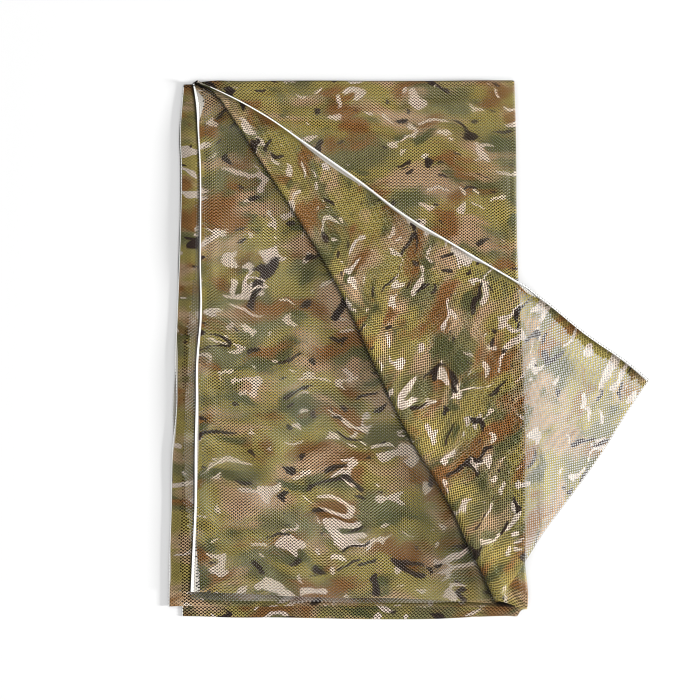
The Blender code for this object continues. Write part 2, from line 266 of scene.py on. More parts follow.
def stack(across, along):
    """Cloth points in the folded stack, with the top layer's corner not yet turned back."""
    past_top = along - TOP_FOLD_ALONG
    past_side = across - SIDE_FOLD_ACROSS
    outer = past_top < 0.0
    upper = past_side < 0.0
    top_angle = np.clip(past_top / TOP_RADIUS, -math.pi / 2, math.pi / 2)
    side_angle = np.clip(past_side / SIDE_RADIUS, -math.pi / 2, math.pi / 2)

    to_selvedge, to_end = flat_reach(upper, outer)
    share = np.maximum(np.abs(past_side) - HALF_SIDE_ARC, 0.0) / to_selvedge
    down = np.maximum(np.abs(past_top) - HALF_TOP_ARC, 0.0) / to_end
    down = down * (read_layer(ENDS, "share", share, upper, outer) - EDGE_ROOM)
    selvedge = read_layer(SIDES, "down", down, upper, outer)
    bend_radius = SIDE_RADIUS - TOP_RADIUS * np.sin(top_angle)

    flat_x = fold_line(down) + share * (selvedge - fold_line(down))
    x = flat_x + bend_radius * np.cos(side_angle)
    y = TOP_EDGE - EDGE_ROOM + top_stray(share, down, upper) + TOP_RADIUS * np.cos(top_angle) - down
    z = STACK_MIDDLE - bend_radius * np.sin(side_angle)
    return x, y, z


# %% The turned-back corner
CORNER = np.array((-0.478, 0.604))
CORNER_SLOPE = math.radians(60.8)
FOLD_DIRECTION = np.array((math.cos(CORNER_SLOPE), -math.sin(CORNER_SLOPE)))
FOLD_SQUARE = np.array((math.sin(CORNER_SLOPE), math.cos(CORNER_SLOPE)))
TURN = table(
    "reach  roll_edge  radius  selvedge",
    (-0.010, -0.006, 0.0021, -0.001),
    (0.020, 0.011, 0.0022, 0.020),
    (0.045, 0.021, 0.0024, 0.037),
    (0.086, 0.027, 0.0026, 0.065),
    (0.150, 0.031, 0.0031, 0.103),
    (0.230, 0.036, 0.0036, 0.141),
    (0.380, 0.045, 0.0046, 0.212),
    (0.500, 0.049, 0.0054, 0.264),
    (0.600, 0.046, 0.0060, 0.320),
    (0.700, 0.038, 0.0067, 0.378),
    (0.800, 0.030, 0.0074, 0.435),
    (0.930, 0.023, 0.0083, 0.487),
    (1.030, 0.026, 0.0090, 0.535),
    (1.110, 0.026, 0.0096, 0.565),
    (1.185, 0.019, 0.0101, 0.600),
    (1.260, 0.015, 0.0106, 0.640),
    (1.380, 0.004, 0.0114, 0.700),
)
ROLL_SLIP = 0.014
FLAP_SLIP = 0.027
FLAP_SETTLE = 9.0
DRAPE_START = 0.001
DRAPE_WIDTH = 0.046
TINY = 1e-6


def fold_frame(x, y):
    """Distance along the turned-back corner's fold, and distance square to it."""
    offset_x, offset_y = x - CORNER[0], y - CORNER[1]
    reach = offset_x * FOLD_DIRECTION[0] + offset_y * FOLD_DIRECTION[1]
    square = offset_x * FOLD_SQUARE[0] + offset_y * FOLD_SQUARE[1]
    return reach, square


def plan_from_fold(reach, square):
    x = CORNER[0] + reach * FOLD_DIRECTION[0] + square * FOLD_SQUARE[0]
    y = CORNER[1] + reach * FOLD_DIRECTION[1] + square * FOLD_SQUARE[1]
    return x, y


def roll_shape(reach):
    """The roll's radius, and the line on which the flat cloth starts to rise into it."""
    radius = read(TURN, "radius", "reach", reach)
    return radius, read(TURN, "roll_edge", "reach", reach) + radius + CLOTH_THICKNESS / 2


def turn_back(x, y, z):
    """Top-layer points after the corner is turned back, and how far each is past the roll."""
    reach, square = fold_frame(x, y)
    radius, start = roll_shape(reach)
    over = np.maximum(start - square, 0.0)
    angle = np.minimum(over / radius, math.pi)
    beyond = np.maximum(over - math.pi * radius, 0.0)

    selvedge_left = np.maximum(x - read(SIDES, "first", "down", TOP_EDGE - y), 0.0)
    selvedge_square = selvedge_left / FOLD_SQUARE[0]
    out = beyond / np.maximum(beyond + selvedge_square, TINY)
    new_reach = reach * (1.0 + ROLL_SLIP * angle / math.pi + FLAP_SLIP * out)
    wanted = read(TURN, "selvedge", "reach", new_reach)
    new_square = np.where(over > 0.0, start - radius * np.sin(angle) + beyond, square)
    new_square = new_square + out * (wanted - start - beyond - selvedge_square)
    new_x, new_y = plan_from_fold(new_reach, new_square)

    lift = radius * (1.0 - np.cos(angle))
    lift = lift + (LAYER_PITCH - lift) * ease(beyond / (FLAP_SETTLE * radius))
    side_fold = read(SIDES, "side_fold", "down", TOP_EDGE - new_y)
    fall = ease((new_x - side_fold - DRAPE_START) / DRAPE_WIDTH) * (beyond > 0.0)
    new_z = z + lift
    new_z = new_z + (FLOOR_LAYER_HEIGHT - new_z) * fall
    return new_x, new_y, new_z, beyond


# %% [markdown]
# Nothing in a pile of cloth is level. Slow swells lift all the layers together, and the layers
# are pressed close at the corner where the roll starts. Soft creases run over the parts that
# show. Each crease is one row of a table: where it starts and ends on the plan, how wide it is,
# and how high, or how deep where the height is negative.

# %% Swells and creases
SWELL = 0.34
WAVES = table(
    "across_waves  along_waves  phase",
    (0.9, 1.7, 0.4),
    (2.3, -1.1, 2.1),
    (-1.6, 2.9, 4.4),
)
BODY_CREASES = table(
    "start_x  start_y  end_x  end_y  width  height",
    (-0.445, 0.560, -0.440, 0.080, 0.020, 0.0016),
    (-0.430, 0.120, -0.180, -0.110, 0.026, 0.0018),
    (-0.420, -0.160, -0.060, -0.300, 0.030, 0.0016),
    (-0.300, -0.420, 0.120, -0.470, 0.024, 0.0014),
    (-0.244, -0.150, -0.379, -0.497, 0.020, 0.0034),
    (0.137, -0.535, 0.204, -0.565, 0.008, -0.0022),
    (0.218, -0.524, 0.252, -0.568, 0.005, -0.0032),
    (-0.507, 0.575, -0.510, 0.330, 0.006, 0.0020),
    (-0.518, 0.100, -0.525, -0.350, 0.007, 0.0020),
    (-0.200, 0.100, -0.060, -0.200, 0.022, -0.0014),
    (0.020, 0.590, 0.230, 0.470, 0.022, 0.0016),
    (0.060, 0.480, 0.240, 0.300, 0.026, 0.0018),
    (-0.150, 0.590, 0.020, 0.480, 0.018, -0.0012),
)
FLAP_CREASES = table(
    "start_x  start_y  end_x  end_y  width  height",
    (-0.330, 0.420, -0.020, 0.010, 0.016, 0.0022),
    (-0.120, 0.220, 0.150, -0.180, 0.022, 0.0026),
    (0.060, 0.120, 0.230, -0.120, 0.020, 0.0022),
    (0.180, -0.060, 0.210, -0.420, 0.024, 0.0026),
    (0.270, 0.060, 0.330, -0.240, 0.018, 0.0030),
    (0.330, 0.010, 0.480, -0.090, 0.016, 0.0026),
    (0.300, -0.200, 0.400, -0.160, 0.014, 0.0022),
)
CREASE_BOW = 1.5
CREASE_FADES = 4.0


def swell(x, y):
    """A slow wave between 0 and 1 over the floor plan."""
    waves = zip(WAVES["across_waves"], WAVES["along_waves"], WAVES["phase"])
    total = sum(np.sin(2.0 * math.pi * (p * x + q * y) + phase) for p, q, phase in waves)
    return 0.5 + total / (2.0 * len(WAVES["phase"]))


def crease_height(creases, x, y):
    """The summed height of the creases: each is round across and fades out at both ends."""
    total = np.zeros_like(x)
    for row in zip(*creases.values()):
        start_x, start_y, end_x, end_y, width, height = row
        length = math.hypot(end_x - start_x, end_y - start_y)
        along_x, along_y = (end_x - start_x) / length, (end_y - start_y) / length
        run = ((x - start_x) * along_x + (y - start_y) * along_y) / length
        aside = ((x - start_x) * along_y - (y - start_y) * along_x) / width
        bow = CREASE_BOW * np.sin(math.pi * np.clip(run, 0.0, 1.0))
        inside = ease(CREASE_FADES * run) * ease(CREASE_FADES * (1.0 - run))
        total = total + height * inside * np.exp(-(aside - bow) ** 2)
    return total


# %% [markdown]
# A knitted edge that nobody sewed rolls up on itself. The last millimetres of each selvedge
# follow a small circle towards the back of the cloth, and the margin next to it is drawn out a
# little to feed the curl.

# %% Place a point of the flat cloth in the finished folds
CURL_TURN = math.radians(250.0)
CURL_FEED = 0.060
CURL_RADIUS = dict(first=0.0020, second=0.0020, third=0.0009, fourth=0.0009)
SELVEDGE_LIFT = 0.0030
SELVEDGE_LIFT_WIDTH = 0.030
SELVEDGE_LIFT_TOP = 0.56
SELVEDGE_LIFT_FADE = 0.1
CREASE_FULL_HEIGHT = 0.012
FLAP_CREASE_RISE = 0.03
CORNER_PRESS = 0.5
CORNER_PRESS_SIZE = 0.045
DIFFERENCE = 1e-5


def place(across, along):
    """Middle-of-the-cloth points in the finished folds, as an array of x, y, z."""
    x, y, z = stack(across, along)
    top_layer = (across < SIDE_FOLD_ACROSS) & (along < TOP_FOLD_ALONG - HALF_TOP_ARC)
    *turned, beyond = turn_back(x, y, z)
    x, y, z = (np.where(top_layer, new, old) for new, old in zip(turned, (x, y, z)))
    z = FLOOR_LAYER_HEIGHT + (z - FLOOR_LAYER_HEIGHT) * (1.0 + SWELL * swell(x, y))
    from_corner = np.hypot(x - CORNER[0], y - CORNER[1])
    press = CORNER_PRESS * np.exp(-(from_corner / CORNER_PRESS_SIZE) ** 2)
    z = z - (z - FLOOR_LAYER_HEIGHT) * press

    share = ease((z - FLOOR_LAYER_HEIGHT) / CREASE_FULL_HEIGHT)
    flap = top_layer & (beyond > 0.0)
    on_flap = crease_height(FLAP_CREASES, x, y) * ease(beyond / FLAP_CREASE_RISE)
    z = z + np.where(flap, on_flap, 0.0) + crease_height(BODY_CREASES, x, y) * share

    second = (across < SIDE_FOLD_ACROSS) & (along > TOP_FOLD_ALONG)
    from_edge = (across + CLOTH_WIDTH / 2) / SELVEDGE_LIFT_WIDTH
    lift = SELVEDGE_LIFT * np.exp(-from_edge ** 2)
    lift = lift * ease((SELVEDGE_LIFT_TOP - y) / SELVEDGE_LIFT_FADE)
    z = z + np.where(second, lift, 0.0)
    return np.stack((x, y, z), axis=-1) - ORIGIN_IN_DRAWING


def curled(across, along, radius):
    """Like place, with the selvedge curled towards the back of the cloth."""
    side = np.where(across < 0.0, -1.0, 1.0)
    from_edge = CLOTH_WIDTH / 2 - np.abs(across)
    curl = CURL_TURN * radius
    flat = radius + (from_edge - curl) * (CURL_FEED - radius) / (CURL_FEED - curl)
    flat = np.where(from_edge < curl, radius, np.where(from_edge < CURL_FEED, flat, from_edge))
    base = side * (CLOTH_WIDTH / 2 - flat)

    outwards = place(base + side * DIFFERENCE, along) - place(base - side * DIFFERENCE, along)
    onwards = place(base, along + DIFFERENCE) - place(base, along - DIFFERENCE)
    front = np.cross(outwards * side[:, None], onwards)
    outwards = outwards / np.linalg.norm(outwards, axis=-1, keepdims=True)
    front = front / np.linalg.norm(front, axis=-1, keepdims=True)
    angle = np.clip(curl - from_edge, 0.0, curl) / radius
    shift = radius * np.sin(angle)[:, None] * outwards
    return place(base, along) + shift - radius * (1.0 - np.cos(angle))[:, None] * front


print("a corner of the cloth lies at", place(np.array([-0.75]), np.array([-1.1825])).round(4)[0])

# %% [markdown]
# ## The mesh
#
# The cloth is an even net: holes stand in rows, and each row is offset by half a step from the
# next. A line through neighbouring holes runs diagonally, so the whole net is a grid of two
# diagonal families of strands. A plain grid primitive is laid along those two diagonals with its
# lines in pairs, close together over a strand and further apart over a hole. Then the faces over
# the holes are deleted, and the four sides are trimmed straight.
#
# The net is knitted shut in a margin at each selvedge, whose width each layer has for itself.
# It is also left closed in a narrow band at the top fold and in a wider one at the lowest layer's
# cut end, and there dark holes are painted on as shade.
#
# A quarter of the cloth has about 31 000 holes, and so one layer is one piece. All four are cut
# from the same lattice, and they meet at the folds.

# %% Sizes of the net
HOLE_STEP_ACROSS = 0.00425
HOLE_STEP_ALONG = 0.00338
HOLE_SHARE = 0.70
MARGINS = dict(first=0.025, second=0.018, fourth=0.027)
THIRD_MARGIN = table(
    "along  width",
    (0.000, 0.040),
    (0.350, 0.040),
    (0.600, 0.024),
    (1.200, 0.031),
)
MARGIN_STRAY = 0.004
MARGIN_WAVES = 2.6
MARGIN_SCATTER = 0.005
END_BAND = 0.034
TOP_BAND = 0.010
TRIM_SNAP = 1e-6
holes = CLOTH_WIDTH * CLOTH_LENGTH / (2.0 * HOLE_STEP_ACROSS * HOLE_STEP_ALONG)
print(f"about {holes:,.0f} holes, {HOLE_SHARE ** 2:.0%} of the cloth open")

# %% Lay a grid along the diagonals of the net


def lattice_range(low, high):
    """The whole steps along both diagonals that cover a rectangle of flat cloth."""
    corners = [(a, b) for a in (low[0], high[0]) for b in (low[1], high[1])]
    steps = [(a / HOLE_STEP_ACROSS, b / HOLE_STEP_ALONG) for a, b in corners]
    first = [(b + a) / 2.0 for a, b in steps]
    second = [(b - a) / 2.0 for a, b in steps]
    return [(math.floor(min(run)) - 1, math.ceil(max(run)) + 1) for run in (first, second)]


def paired_lines(start, index):
    """Grid lines in pairs: one on each side of every whole step."""
    return start + index // 2 + HOLE_SHARE * (index % 2 - 0.5)


def lay_grid(name, low, high):
    """A grid primitive over a rectangle of flat cloth, its lines in pairs on the diagonals."""
    ranges = lattice_range(low, high)
    lines = [2 * (end - start + 1) for start, end in ranges]
    bpy.ops.object.select_all(action="DESELECT")
    bpy.ops.mesh.primitive_grid_add(
        x_subdivisions=lines[0] - 1, y_subdivisions=lines[1] - 1, size=1)
    piece = bpy.context.object
    piece.name = piece.data.name = name
    points = np.zeros(len(piece.data.vertices) * 3)
    piece.data.vertices.foreach_get("co", points)
    points = points.reshape(-1, 3)
    index = [np.rint((points[:, k] + 0.5) * (lines[k] - 1)).astype(int) for k in range(2)]
    first, second = (paired_lines(ranges[k][0], index[k]) for k in range(2))
    points[:, 0] = HOLE_STEP_ACROSS * (first - second)
    points[:, 1] = HOLE_STEP_ALONG * (first + second)
    piece.data.vertices.foreach_set("co", points.ravel())
    return piece


# %% Open the holes and trim the sides


def face_middles(mesh):
    middles = np.zeros(len(mesh.polygons) * 3)
    mesh.polygons.foreach_get("center", middles)
    return middles.reshape(-1, 3)[:, 0], middles.reshape(-1, 3)[:, 1]


def luck(first, second):
    """An even number between 0 and 1 for each hole, always the same for the same hole."""
    mixed = np.sin(first * 12.9898 + second * 78.233) * 43758.5453
    return mixed - np.floor(mixed)


def unwanted_faces(mesh, low, high):
    """Faces beyond the rectangle, and faces over the holes where the net is neither knitted shut
    nor closed for painted holes.
    """
    across, along = face_middles(mesh)
    beyond = (across < low[0] - HOLE_STEP_ACROSS) | (across > high[0] + HOLE_STEP_ACROSS)
    beyond |= (along < low[1] - HOLE_STEP_ALONG) | (along > high[1] + HOLE_STEP_ALONG)
    first = (along / HOLE_STEP_ALONG + across / HOLE_STEP_ACROSS) / 2.0
    second = (along / HOLE_STEP_ALONG - across / HOLE_STEP_ACROSS) / 2.0
    half = HOLE_SHARE / 2.0
    hole = (np.abs(first - np.rint(first)) < half) & (np.abs(second - np.rint(second)) < half)
    margins = dict(MARGINS, third=read(THIRD_MARGIN, "width", "along", along))
    margin = by_layer(across < SIDE_FOLD_ACROSS, along < TOP_FOLD_ALONG, **margins)
    margin = margin + MARGIN_STRAY * np.sin(2.0 * math.pi * MARGIN_WAVES * along)
    margin = margin + MARGIN_SCATTER * (luck(np.rint(first), np.rint(second)) - 0.5)
    shut_knit_or_painted = CLOTH_WIDTH / 2 - np.abs(across) < margin
    # Closed bands at the lowest cut end and the top fold, where dark holes are painted as shade.
    shut_knit_or_painted |= (across > SIDE_FOLD_ACROSS) & (along < END_BAND - CLOTH_LENGTH / 2)
    shut_knit_or_painted |= np.abs(along - TOP_FOLD_ALONG) < TOP_BAND
    return beyond | (hole & ~shut_knit_or_painted)


def trim(low, high):
    """Cut the open mesh straight along the four sides of the rectangle."""
    for corner, sign in ((low, -1.0), (high, 1.0)):
        for axis in range(2):
            outwards = [0.0, 0.0, 0.0]
            outwards[axis] = sign
            bpy.ops.mesh.select_all(action="SELECT")
            bpy.ops.mesh.bisect(plane_co=(*corner, 0.0), plane_no=outwards, clear_outer=True,
                                threshold=TRIM_SNAP)


def open_holes(piece, low, high):
    mesh = piece.data
    bpy.context.tool_settings.mesh_select_mode = (False, False, True)
    for group in (mesh.vertices, mesh.edges):
        group.foreach_set("select", np.zeros(len(group), bool))
    mesh.polygons.foreach_set("select", unwanted_faces(mesh, low, high))
    bpy.ops.object.mode_set(mode="EDIT")
    bpy.ops.mesh.delete(type="FACE")
    trim(low, high)
    bpy.ops.object.mode_set(mode="OBJECT")
    return piece


# %% [markdown]
# Before the flat net is carried to its folds, its flat place is kept in two UV maps. The print
# reads the one in metres, so it runs over the folds as ink on cloth does. The other has the same
# layout, fitted to a square, and serves when colours are baked to a picture.

# %% [markdown]
# In a pile of net the holes look almost black, because what lies behind them gets hardly any
# light. The layers of the real net touch, and these are a little apart, so more light would get
# in between them here. So shade is painted into the colour: an attribute keeps how far each point
# lies under the next layer, from the edge of that layer inwards, and the colour darkens with it.
# The turn at the top fold and the side of the roll that faces down get painted shade too. The flap
# has a share of it where it falls to the floor, against the light its slope catches: on a pile as
# thin as the real one it would slope less towards the light.

# %% Painted shade: how deep a point lies under cover
COVER_REACH = 0.006
ROLL_START = 0.05
EDGE_SPREAD = 0.007
EDGE_SHARES = dict(second=0.8, third=0.95, fourth=0.3)
END_SPREAD = 0.035
END_SHARES = dict(third=0.72, fourth=0.14)
DRAPE_SHARE = 0.40
TOP_SPREAD = 0.009
TOP_SHARE = 0.4
CUT_END_SAMPLES = 400
ABOVE = dict(third="second", fourth="third")


def flap_end():
    """Two plan points on the turned-back cut end: at the tip and at the roll."""
    across = np.linspace(-CLOTH_WIDTH / 2, SIDE_FOLD_ACROSS, CUT_END_SAMPLES)
    x, y, _, beyond = turn_back(*stack(across, np.full_like(across, -CLOTH_LENGTH / 2)))
    turned = beyond > 0.0
    return np.array((x[turned][0], y[turned][0])), np.array((x[turned][-1], y[turned][-1]))


def under_first(x, y):
    """Distance inside the roll's edge, for a point under the top layer."""
    reach, square = fold_frame(x, y)
    return square - read(TURN, "roll_edge", "reach", reach)


def under_flap(x, y):
    """Distance inside the edges of the turned-back corner."""
    reach, square = fold_frame(x, y)
    tip, root = flap_end()
    run = (root - tip) / np.linalg.norm(root - tip)
    above_end = (y - tip[1]) * -run[0] + (x - tip[0]) * run[1]
    from_selvedge = read(TURN, "selvedge", "reach", reach) - square
    inside = np.minimum(from_selvedge, above_end)
    return np.where(under_first(x, y) > 0.0, inside, 0.0)


def under_layer(name, x, y):
    """Distances inside a layer's selvedge and inside its cut end."""
    down = TOP_EDGE - EDGE_ROOM - y
    selvedge = read(SIDES, name, "down", down)
    share = np.clip((fold_line(down) - x) / (fold_line(down) - selvedge), 0.0, 1.0)
    return x - selvedge, read(ENDS, name, "share", share) - EDGE_ROOM - down


def in_roll(x, y):
    """Painted shade: 1 on the lower side of the roll, and 0 from a little above its edge."""
    reach, square = fold_frame(x, y)
    radius, start = roll_shape(reach)
    angle = (start - square) / radius
    low_side = np.where(angle > 0.0, 1.0 - ease((angle - math.pi / 2) / (math.pi / 4)), 0.0)
    return low_side * ease(reach / ROLL_START)


def on_drape(x, y, z):
    """Painted shade: 1 where the flap falls most steeply to the floor, and 0 above and below."""
    new_x, new_y, _, beyond = turn_back(x, y, z)
    side_fold = read(SIDES, "side_fold", "down", TOP_EDGE - new_y)
    fall = np.clip((new_x - side_fold - DRAPE_START) / DRAPE_WIDTH, 0.0, 1.0)
    return np.where(beyond > 0.0, 4.0 * fall * (1.0 - fall), 0.0)


def shade(depth, spread, share):
    """0 in the open, a share of 1 right at the edge of the layer above, and 1 well under it."""
    return share * ease(1.0 + depth / spread) + (1.0 - share) * ease(depth / COVER_REACH)


def painted_shade(name, across, along):
    """Painted shade for every point of a piece: 0 in the open to 1 well under the next layer,
    with more at the turn of the top fold, on the roll's lower side and where the flap falls.
    """
    x, y, z = stack(across, along)
    # Painted shade at the turn of the top fold.
    at_top = TOP_SHARE * ease(1.0 - np.abs(along - TOP_FOLD_ALONG) / TOP_SPREAD)
    if name == "first":
        under = np.maximum(ease(under_flap(x, y) / COVER_REACH), in_roll(x, y))
        under = np.maximum(under, DRAPE_SHARE * on_drape(x, y, z))
    elif name == "second":
        under = shade(under_first(x, y), EDGE_SPREAD, EDGE_SHARES[name])
    else:
        from_selvedge, to_end = under_layer(ABOVE[name], x, y)
        if name == "third":
            to_end = np.maximum(to_end, under_first(x, y))
        under = np.minimum(shade(from_selvedge, EDGE_SPREAD, EDGE_SHARES[name]),
                           shade(to_end, END_SPREAD, END_SHARES[name]))
    return np.maximum(under, at_top)


# %% [markdown]
# The ink stays a little short of the selvedge in some stretches, and bare pale knit shows there.
# A second table says where, by the place along the cloth: the top layer has the negative half
# of it and the second layer the positive half.

# %% How far the print keeps off the selvedge of the upper two layers
BARE_NAME = "bare_width"
BARE = table(
    "along  width",
    (-1.200, 0.001),
    (-0.870, 0.001),
    (-0.845, 0.006),
    (-0.815, 0.001),
    (-0.735, 0.001),
    (-0.705, 0.006),
    (-0.680, 0.001),
    (-0.640, 0.001),
    (-0.590, 0.006),
    (-0.510, 0.002),
    (-0.430, 0.001),
    (-0.390, 0.006),
    (-0.280, 0.006),
    (-0.240, 0.001),
    (0.000, 0.000),
    (0.035, 0.001),
    (0.060, 0.012),
    (0.090, 0.006),
    (0.115, 0.000),
    (0.650, 0.000),
    (0.850, 0.003),
    (1.080, 0.003),
    (1.150, 0.010),
    (1.190, 0.013),
)


def bare_width(across, along):
    return np.where(across < 0.0, read(BARE, "width", "along", along), 0.0)


print("turned-back cut end runs from", *(point.round(3) for point in flap_end()))

# %% Fold a flat piece
FLAT_MAP = "flat_cloth"
COVER = "painted_shade_share"
BAKE_MAP = "OFBake"
LAYERS = dict(
    first=((-CLOTH_WIDTH / 2, -CLOTH_LENGTH / 2), (SIDE_FOLD_ACROSS, TOP_FOLD_ALONG)),
    second=((-CLOTH_WIDTH / 2, TOP_FOLD_ALONG), (SIDE_FOLD_ACROSS, CLOTH_LENGTH / 2)),
    third=((SIDE_FOLD_ACROSS, TOP_FOLD_ALONG), (CLOTH_WIDTH / 2, CLOTH_LENGTH / 2)),
    fourth=((SIDE_FOLD_ACROSS, -CLOTH_LENGTH / 2), (CLOTH_WIDTH / 2, TOP_FOLD_ALONG)),
)


def keep_map(mesh, name, flat):
    corners = np.zeros(len(mesh.loops), int)
    mesh.loops.foreach_get("vertex_index", corners)
    mesh.uv_layers.new(name=name).data.foreach_set("uv", flat[corners].ravel())


def fold(piece, name, low, high):
    """Carry the flat points of a piece to their place in the folds. Returns its flat area."""
    mesh = piece.data
    area = sum(face.area for face in mesh.polygons)
    points = np.zeros(len(mesh.vertices) * 3)
    mesh.vertices.foreach_get("co", points)
    flat = points.reshape(-1, 3)[:, :2]
    for layer in list(mesh.uv_layers):
        mesh.uv_layers.remove(layer)
    keep_map(mesh, FLAT_MAP, flat)
    keep_map(mesh, BAKE_MAP, (flat - low) / (np.array(high) - low))
    for attribute, values in ((COVER, painted_shade(name, *flat.T)), (BARE_NAME, bare_width(*flat.T))):
        mesh.attributes.new(attribute, "FLOAT", "POINT").data.foreach_set("value", values)
    folded = curled(flat[:, 0], flat[:, 1], CURL_RADIUS[name])
    mesh.vertices.foreach_set("co", folded.ravel())
    mesh.shade_smooth()
    mesh.update()
    return area


# %% Make the four layers
pieces, areas = {}, {}
for name, (low, high) in LAYERS.items():
    piece = open_holes(lay_grid(f"net_{name}_layer", low, high), low, high)
    areas[name] = fold(piece, name, low, high)
    pieces[name] = piece
    triangles = sum(len(face.vertices) - 2 for face in piece.data.polygons)
    print(f"{piece.name}: {triangles} triangles, {areas[name]:.4f} m2 of cloth")

# %% [markdown]
# ## The print
#
# Camouflage is ink on a pale knit: broad soft blotches of ground colours, and over them small
# crisp marks in cream and dark brown. This design is a plain one of our own, laid out by noise.
# Broad noise with a soft threshold makes a blotch. A mark is a wavy dash: it lies where one noise
# crosses its middle, and a second noise gives it room only here and there. A third noise, broader
# still, gathers the dashes in loose clusters.

# %% Small helpers for node trees


def add_node(tree, kind, links=None, **settings):
    """Add a shader node, set its properties, and fill its sockets with values or links."""
    node = tree.nodes.new(f"ShaderNode{kind}")
    for key, value in settings.items():
        setattr(node, key, value)
    for key, value in (links or {}).items():
        if isinstance(value, bpy.types.NodeSocket):
            tree.links.new(value, node.inputs[key])
        else:
            node.inputs[key].default_value = value
    return node


def maths(tree, operation, *values, clamp=False):
    node = add_node(tree, "Math", dict(enumerate(values)), operation=operation, use_clamp=clamp)
    return node.outputs[0]


def noise(tree, place_socket, scale, detail=2.0, roughness=0.5):
    return add_node(tree, "TexNoise", {
        "Vector": place_socket, "Scale": scale, "Detail": detail, "Roughness": roughness})


def step(tree, value, threshold, softness):
    """0 below a threshold, 1 above it, with a ramp of the given softness between."""
    rise = maths(tree, "SUBTRACT", value, threshold)
    rise = maths(tree, "DIVIDE", rise, softness)
    return maths(tree, "ADD", rise, 0.5, clamp=True)


def blend(tree, share, under, over):
    """Lay one colour over another, by a share between 0 and 1."""
    node = add_node(tree, "Mix", data_type="RGBA", clamp_factor=True)
    for socket, value in ((node.inputs[0], share), (node.inputs[6], under), (node.inputs[7], over)):
        if isinstance(value, bpy.types.NodeSocket):
            tree.links.new(value, socket)
        else:
            socket.default_value = value
    return node.outputs[2]


def darkened(tree, colour, share):
    """A colour multiplied by a number."""
    node = add_node(tree, "VectorMath", {0: colour, "Scale": share}, operation="SCALE")
    return node.outputs[0]


def shifted(tree, place_socket, offset=(0.0, 0.0, 0.0), turn=0.0, scale=(1.0, 1.0, 1.0)):
    return add_node(tree, "Mapping", {
        "Vector": place_socket, "Location": offset, "Rotation": (0.0, 0.0, turn), "Scale": scale,
    }).outputs[0]


# %% The inks
KHAKI = (0.430, 0.350, 0.100, 1.0)
SAGE = (0.225, 0.208, 0.088, 1.0)
MOSS = (0.142, 0.142, 0.054, 1.0)
TAN = (0.580, 0.398, 0.235, 1.0)
RUST = (0.310, 0.148, 0.046, 1.0)
CREAM = (0.830, 0.700, 0.580, 1.0)
BARK = (0.050, 0.033, 0.026, 1.0)
UNPRINTED = (0.880, 0.875, 0.850, 1.0)
PALE_KNIT = (0.400, 0.375, 0.335, 1.0)

BLOTCHES = (
    # ink, offset, turn, length, width, threshold, softness
    (SAGE, 3.1, math.radians(20.0), 0.170, 0.095, 0.52, 0.10),
    (TAN, 11.3, math.radians(-10.0), 0.150, 0.080, 0.56, 0.11),
    (MOSS, 7.7, math.radians(35.0), 0.110, 0.060, 0.60, 0.07),
    (RUST, 17.9, math.radians(-25.0), 0.120, 0.070, 0.58, 0.09),
)
DASHES = (
    # ink, offset, turn, length, spacing, half width, room, share left out
    (CREAM, 5.3, math.radians(24.0), 0.115, 0.046, 0.052, 0.066, 0.550),
    (BARK, 13.9, math.radians(-16.0), 0.130, 0.052, 0.042, 0.070, 0.580),
    (CREAM, 23.7, math.radians(75.0), 0.075, 0.042, 0.046, 0.054, 0.613),
    (BARK, 31.1, math.radians(62.0), 0.085, 0.046, 0.046, 0.050, 0.635),
)
CLUSTER_SCALE = 3.5
CLUSTER_SHARE = 0.30
DASH_END = 0.035
DASH_SOFTNESS = 0.012
DASH_CUT = 0.1
OFFSET_TILT = 0.7
BLOTCH_DETAIL = 4.0
STREAKS = (1.0 / 0.090, 1.0 / 0.014, 1.0)
STREAK_TURN = math.radians(14.0)
STREAK_SHARE = 0.16
MOTTLE_SCALE = 28.0
MOTTLE_DETAIL = 5.0
MOTTLE_ROUGHNESS = 0.68
MOTTLE_SHARE = 0.9
MOTTLE_LIFT = 0.15
INK_RANGE = 0.55
INK_LOWEST = 0.39
WARP_SCALE = 9.0
WARP_SIZE = 0.075
FINE_WARP_SCALE = 38.0
FINE_WARP_SIZE = 0.014


def warped(tree, place_socket, scale, size):
    """The coordinates pushed about by noise, so that straight things wander."""
    push = noise(tree, place_socket, scale, detail=1.0).outputs["Color"]
    push = add_node(tree, "VectorMath", {0: push, 1: (0.5, 0.5, 0.5)}, operation="SUBTRACT")
    push = add_node(tree, "VectorMath", {0: push.outputs[0], "Scale": size}, operation="SCALE")
    return add_node(tree, "VectorMath", {0: place_socket, 1: push.outputs[0]}).outputs[0]


def stretched_noise(tree, place_socket, offset, turn, length, width, detail):
    """Noise whose patches are about as long and as wide as stated."""
    scale = (1.0 / length, 1.0 / width, 1.0)
    laid = shifted(tree, place_socket, (offset, offset * OFFSET_TILT, 0.0), turn, scale)
    return noise(tree, laid, 1.0, detail=detail).outputs[0]


def dash_mask(tree, place_socket, cluster, offset, turn, length, spacing, half_width, room,
              left_out):
    """Wavy dashes: where one noise crosses its middle, and another noise leaves room."""
    run = stretched_noise(tree, place_socket, offset, turn, length, spacing, 0.0)
    from_middle = maths(tree, "ABSOLUTE", maths(tree, "SUBTRACT", run, 0.5))
    allowed = stretched_noise(tree, place_socket, -offset, turn, room, room, 1.0)
    allowed = maths(tree, "MULTIPLY_ADD", cluster, CLUSTER_SHARE, allowed)
    allowed = step(tree, allowed, left_out + DASH_END / 2.0, DASH_END)
    inside = maths(tree, "SUBTRACT", maths(tree, "MULTIPLY", allowed, half_width), from_middle)
    return maths(tree, "MULTIPLY", step(tree, inside, 0.0, DASH_SOFTNESS),
                 step(tree, allowed, DASH_CUT, DASH_CUT))


